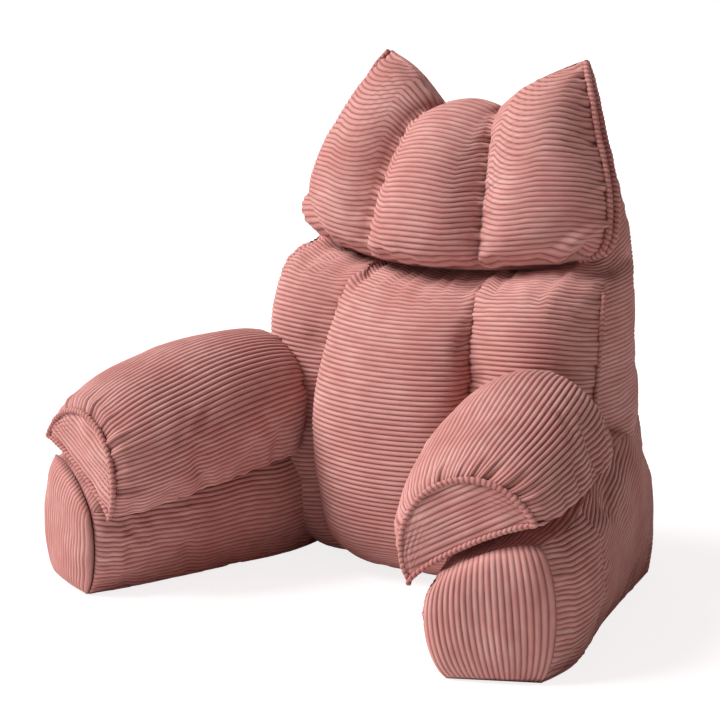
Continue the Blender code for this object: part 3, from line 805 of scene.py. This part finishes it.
for side, hand in HANDS:
    body = even_rows(base_rings(np.linspace(0, len(ARM_BASE) - 1, BASE_SAMPLES)), BASE_LENGTH_ROWS)
    body = body * (side, 1, 1)
    tail = pole_rows(body[-1], BASE_TAIL_DEPTH * BACK, CAP_ROWS)
    face = points(side * math.sin(ARM_FACE), -math.cos(ARM_FACE), 0)
    nose = pole_rows(body[0], -BASE_NOSE_DEPTH * face, CAP_ROWS)[::-1]
    base_shape = np.concatenate([nose, body, tail])
    held = np.zeros(base_shape.shape[:2], bool)
    held[:BASE_SEWN_ROWS] = True
    held[-SEWN_ROWS:] = True
    held[:, : BASE_FLOOR + 1] = True
    base_shape = stuffed(base_shape, held, slack=0.010, most=0.005)
    last_row = len(base_shape) - 1
    body_at = np.linspace(CAP_ROWS, last_row, BASE_ROW_CUTS * (last_row - CAP_ROWS) + 1)
    rows_at = np.concatenate([np.arange(CAP_ROWS), body_at])
    skin_places = between(base_shape, rows_at, BASE_PANELS)
    width = skin_places.shape[1]
    floor_up = skin_places[..., 2]
    length_run = down_run(skin_places)
    from_front = length_run - length_run[CAP_ROWS]
    # The wales are counted up each wall from the floor, and across the top from its outer edge.
    before, after = seam_distance(skin_places, BASE_PANELS)
    outer_start, top_start, inner_start = np.cumsum([fine for _, fine in BASE_PANELS])[:3]
    outer_columns = marked(width, outer_start + 1, top_start - 1)
    count = before / WALE
    count[:, inner_start:] = after[:, inner_start:] / WALE
    count[:, :outer_start] = 0
    count = count + 0.3 * ripple(length_run, 0.11, 31)
    count = count + folds(from_front, floor_up, height=0.25, reach=0.03, pitch=0.03, seed=32)
    count = count - DART_WALES * np.maximum(from_front - DART_BACK, 0) / WALE * outer_columns
    at_dart_height = groove(floor_up - DART_HEIGHT, 0.05)
    dart_line = DART_BACK + DART_SLOPE * (floor_up - DART_UPRIGHT_HEIGHT)
    dart = DART_DEPTH * groove(from_front - dart_line, 0.004) * outer_columns
    puckers = folds(from_front - DART_BACK, floor_up, height=0.0015, reach=0.018, pitch=0.017, seed=39)
    relief = folds(from_front, floor_up, height=0.0022, reach=0.022, pitch=0.022, seed=33 + side)
    relief += (puckers - dart) * at_dart_height
    relief += lumps(skin_places, height=0.0016, size=0.08, seed=35 + side)
    relief -= WALE_DEPTH * (1 - wale_height(count))
    relief *= np.clip(floor_up / FLOOR_FADE, 0, 1) * np.clip((from_front - SEAM_FADE_START) / SEAM_FADE, 0, 1)
    relief[:CAP_ROWS] = 0
    skin_places += outwards(skin_places) * relief[..., None]
    skin_places[..., 2] = np.maximum(skin_places[..., 2], 0)
    cord = np.stack([count, length_run / WALE], axis=2)
    name = "arm_base_cushion_" + hand
    finish_cushion(name, skin_places, cord, "arm_base_" + hand, PINK_CORDUROY)
    ring = body[0]
    outer_end = BASE_FLOOR + BASE_OUTER
    top_end = outer_end + BASE_TOP
    end_wales = round(BASE_END_WIDENING * np.linalg.norm(ring[BASE_FLOOR] - ring[0]) / WALE)
    across = end_wales * WALE_CUTS + 1
    low = even_line(ring[: BASE_FLOOR + 1], across)
    high = even_line(ring[outer_end : top_end + 1][::-1], across)
    inner_side = even_line(ring[top_end:][::-1], BASE_END_TALL)
    outer_side = even_line(ring[BASE_FLOOR : outer_end + 1], BASE_END_TALL)
    flat = patch(low, high, inner_side, outer_side)
    middle = flat.mean(axis=(0, 1)) * (1, 1, 0)
    flat = middle + (flat - middle) * BASE_END_OVERLAP + face * BASE_END_STAND_OFF
    share = np.linspace(0, 1, across)[None, :]
    rise = np.linspace(0, 1, BASE_END_TALL)[:, None]
    count = end_wales * share + BASE_END_BOW * np.sin(math.pi * rise) * np.sin(math.pi * share)
    along = np.linalg.norm(high - low, axis=1)[None, :] * rise / WALE
    finish_panel("arm_base_end_" + hand, flat, face, BASE_END_PUFF, count, along, 37 + side)


# Arm pads
# A softer roll sewn along the top of each base, with its wales along the arm. Its cloth is eased in at both
# ends, so the wales crowd together and pucker at the seams there.

PadRow = namedtuple("PadRow", "back inner_s inner_z outer_s outer_z crown tuck")
ARM_PAD = (
    PadRow(0.000, -0.100, 0.108, 0.045, 0.184, 0.084, 0),
    PadRow(0.012, -0.105, 0.108, 0.055, 0.184, 0.096, -10),
    PadRow(0.050, -0.109, 0.112, 0.067, 0.190, 0.110, -17),
    PadRow(0.110, -0.109, 0.121, 0.075, 0.195, 0.122, -19),
    PadRow(0.180, -0.107, 0.131, 0.077, 0.199, 0.132, -19),
    PadRow(0.240, -0.101, 0.139, 0.074, 0.203, 0.132, -17),
    PadRow(0.285, -0.093, 0.147, 0.066, 0.207, 0.120, -12),
    PadRow(0.306, -0.077, 0.160, 0.050, 0.213, 0.094, -5),
)
ARM_SPLAY = math.radians(17)
ARM_FRONT = points(0.318, -0.160, 0.0)
PAD_LEAN = points(-0.25, 0, 1)
PAD_HOLLOW = 0.010
PAD_WALES = 56
PAD_TOP, PAD_UNDER = 40, 14
PAD_PANELS = [(PAD_TOP, PAD_WALES * WALE_CUTS), (PAD_UNDER, PAD_UNDER)]
PAD_ROWS, PAD_TAIL_ROWS, PAD_ROW_CUTS = 30, 4, 2
PAD_UNDER_WALES = 20
PAD_TAIL_DEPTH, PAD_NOSE_DEPTH = 0.010, 0.008
PAD_END_PUFF = 0.004
PAD_END_ACROSS, PAD_END_TALL = 30, 13 * WALE_CUTS + 1
ROPE_STAND_OFF = 0.002
KNOT_DROP, KNOT_FORWARD = 0.004, 0.003
UPPER_ROPE_RADIUS, LOWER_ROPE_RADIUS = 0.0038, 0.0036
ARM_BACK = points(-math.sin(ARM_SPLAY), math.cos(ARM_SPLAY), 0)
ARM_ACROSS = points(math.cos(ARM_SPLAY), math.sin(ARM_SPLAY), 0)


def pad_rings(back, top_steps, under_steps):
    """Rings of a left arm pad, square to its arm, at distances back from its front end."""
    row = table_at(ARM_PAD, back)
    inner, outer = points(row.inner_s, 0, row.inner_z), points(row.outer_s, 0, row.outer_z)
    top = puffed(inner, outer, row.crown, top_steps, PAD_LEAN, row.tuck)
    under = puffed(outer, inner, -PAD_HOLLOW, under_steps, -UP)
    flat = closed_ring([top, under])
    place = ARM_FRONT + BACK * depth_shift + ARM_ACROSS * flat[..., :1] + ARM_BACK * back[:, None, None]
    place[..., 2] = flat[..., 2]
    return place


for side, hand in HANDS:
    body = pad_rings(np.linspace(0, ARM_PAD[-1].back, PAD_ROWS), PAD_TOP, PAD_UNDER) * (side, 1, 1)
    arm_back = ARM_BACK * (side, 1, 1)
    tail = pole_rows(body[-1], PAD_TAIL_DEPTH * arm_back, PAD_TAIL_ROWS)
    nose = pole_rows(body[0], PAD_NOSE_DEPTH * arm_back, CAP_ROWS)[::-1]
    pad_shape = np.concatenate([nose, body, tail])
    held = np.zeros(pad_shape.shape[:2], bool)
    held[: CAP_ROWS + 1] = True
    held[-SEWN_ROWS:] = True
    held[:, PAD_TOP:] = True
    held[:, 0] = True
    pad_shape = stuffed(pad_shape, held, slack=0.015, most=0.007)
    last_row = len(pad_shape) - 1
    body_at = np.linspace(CAP_ROWS, last_row, PAD_ROW_CUTS * (last_row - CAP_ROWS) + 1)
    rows_at = np.concatenate([np.arange(CAP_ROWS), body_at])
    skin_places = between(pad_shape, rows_at, PAD_PANELS)
    from_seam, _ = seam_distance(skin_places, PAD_PANELS)
    length_run = down_run(skin_places)
    from_front = np.maximum(length_run - length_run[CAP_ROWS], 0)
    from_rear = np.maximum(length_run[-1 - PAD_ROW_CUTS * PAD_TAIL_ROWS] - length_run, 0)
    top_cuts = PAD_WALES * WALE_CUTS
    round_count = np.zeros(skin_places.shape[1])
    round_count[: top_cuts + 1] = np.linspace(0, PAD_WALES, top_cuts + 1)
    round_count[top_cuts:] = np.linspace(0, PAD_UNDER_WALES, PAD_UNDER + 1)
    round_run = round_count * WALE
    ends = groove(from_front, 0.035) + groove(from_rear, 0.030)
    count = round_count + 0.30 * ends * ripple(round_run, 0.045, 41) * (round_count > 0)
    relief = folds(from_front, round_run, height=0.0032, reach=0.030, pitch=0.024, seed=42 + side)
    relief += folds(from_rear, round_run, height=0.0030, reach=0.028, pitch=0.026, seed=44 + side)
    relief += folds(from_seam, from_front, height=0.0015, reach=0.03, pitch=0.030, seed=49)
    relief += lumps(skin_places, height=0.0014, size=0.08, seed=47 + side)
    relief -= WALE_DEPTH * (1 - wale_height(count))
    relief[rows_at < CAP_ROWS] = 0
    skin_places += outwards(skin_places) * relief[..., None]
    cord = np.stack([count, length_run / WALE], axis=2)
    name = "arm_pad_cushion_" + hand
    finish_cushion(name, skin_places, cord, "arm_pad_" + hand, PINK_CORDUROY)
    ring = body[0]
    low = even_line(ring[PAD_TOP:][::-1], PAD_END_ACROSS)
    high = even_line(ring[: PAD_TOP + 1], PAD_END_ACROSS)
    share = np.linspace(0, 1, PAD_END_TALL)[:, None, None]
    flat = ((1 - share) * low + share * high).transpose(1, 0, 2)
    chord = unit(low[-1] - low[0])
    square = unit(np.cross(chord, arm_back)) * side
    count = ((flat - low[0]) @ square) / WALE
    count = count * np.sign(count[PAD_END_ACROSS // 2, -1]) + 0.2 * np.sin(count)
    along = ((flat - low[0]) @ chord) / WALE
    finish_panel("arm_pad_end_" + hand, flat, -arm_back, PAD_END_PUFF, count, along, 51 + side)
    stand_off = -arm_back * ROPE_STAND_OFF
    knot = low[:1] - UP * KNOT_DROP - arm_back * KNOT_FORWARD
    upper = np.concatenate([knot, high + stand_off])
    lower = low[::-1] + stand_off
    rope("arm_pad_rope_upper_" + hand, upper, UPPER_ROPE_RADIUS, "pad_welt_upper_" + hand)
    rope("arm_pad_rope_lower_" + hand, lower, LOWER_ROPE_RADIUS, "pad_welt_lower_" + hand)


# Studio
# A plain white floor and backdrop, one large soft light high at the left, and weak light all round.

FLOOR_HALF = 12
FLOOR_DROP = 0.0006

floor_mesh = bmesh.new()
bmesh.ops.create_grid(floor_mesh, x_segments=1, y_segments=1, size=FLOOR_HALF)
bmesh.ops.translate(floor_mesh, verts=floor_mesh.verts, vec=(0, 0, -FLOOR_DROP))
floor_data = bpy.data.meshes.new("floor")
floor_mesh.to_mesh(floor_data)
floor_mesh.free()
# Matt white paper. It glows a little as the camera sees it, so that the shadow on it stays faint.
paper = bpy.data.materials.new("matt_white_paper")
paper.use_nodes = True
plain = paper.node_tree.nodes["Principled BSDF"]
plain.inputs["Base Color"].default_value = linear("#f4f3f3")
plain.inputs["Roughness"].default_value = 1.0
plain.inputs["Specular IOR Level"].default_value = 0.0
lit_paper = add_node(paper, "ShaderNodeBsdfDiffuse", Color=linear("#9a9898"))
glow = add_node(paper, "ShaderNodeEmission", Color=linear("#fffdfd"), Strength=0.84)
both = add_node(paper, "ShaderNodeAddShader", links=[(lit_paper, 0, 0), (glow, 0, 1)])
ray = add_node(paper, "ShaderNodeLightPath")
ends = [(ray, "Is Camera Ray", 0), (plain, 0, 1), (both, 0, 2)]
shown = add_node(paper, "ShaderNodeMixShader", links=ends)
paper.node_tree.links.new(shown.outputs[0], paper.node_tree.nodes["Material Output"].inputs[0])
floor = add_piece("floor", floor_data, paper)

CAMERA_TURN, CAMERA_RISE = math.radians(36), math.radians(12)
CAMERA_DISTANCE = 2.933
CAMERA_TARGET = Vector((0, depth_shift, 0.28))
level_back = Vector((math.sin(CAMERA_TURN), -math.cos(CAMERA_TURN), 0))
back = level_back * math.cos(CAMERA_RISE) + Vector((0, 0, math.sin(CAMERA_RISE)))
right = Vector((math.cos(CAMERA_TURN), math.sin(CAMERA_TURN), 0))
up = back.cross(right)
camera_data = bpy.data.cameras.new("camera")
camera_data.sensor_width = 36
camera_data.lens = 120
camera_data.shift_x = 0.0165
camera_data.shift_y = 0.0234
camera = bpy.data.objects.new("camera", camera_data)
bpy.context.scene.collection.objects.link(camera)
facing = Matrix((right, up, back)).transposed().to_4x4()
camera.matrix_world = Matrix.Translation(CAMERA_TARGET + back * CAMERA_DISTANCE) @ facing
bpy.context.scene.camera = camera

sun_data = bpy.data.lights.new("soft_key", "SUN")
sun_data.energy = 4.8
sun_data.angle = math.radians(34)
sun = bpy.data.objects.new("soft_key", sun_data)
bpy.context.scene.collection.objects.link(sun)
to_light = Vector((-0.58, -0.43, 0.72)).normalized()
sun.rotation_mode = "QUATERNION"
sun.rotation_quaternion = to_light.to_track_quat("Z", "Y")
# The walls of the room throw weak warm light, and the camera sees them as plain white.
world = bpy.data.worlds.new("studio")
bpy.context.scene.world = world
world.use_nodes = True
sky = world.node_tree.nodes["Background"]
sky.inputs["Color"].default_value = (1, 0.84, 0.80, 1)
sky.inputs["Strength"].default_value = 0.20
seen = add_node(world, "ShaderNodeBackground", Color=linear("#ffffff"), Strength=1.0)
ray = add_node(world, "ShaderNodeLightPath")
ends = [(ray, "Is Camera Ray", 0), (sky, 0, 1), (seen, 0, 2)]
mix = add_node(world, "ShaderNodeMixShader", links=ends)
world.node_tree.links.new(mix.outputs[0], world.node_tree.nodes["World Output"].inputs[0])
bpy.context.scene.view_settings.view_transform = "Standard"
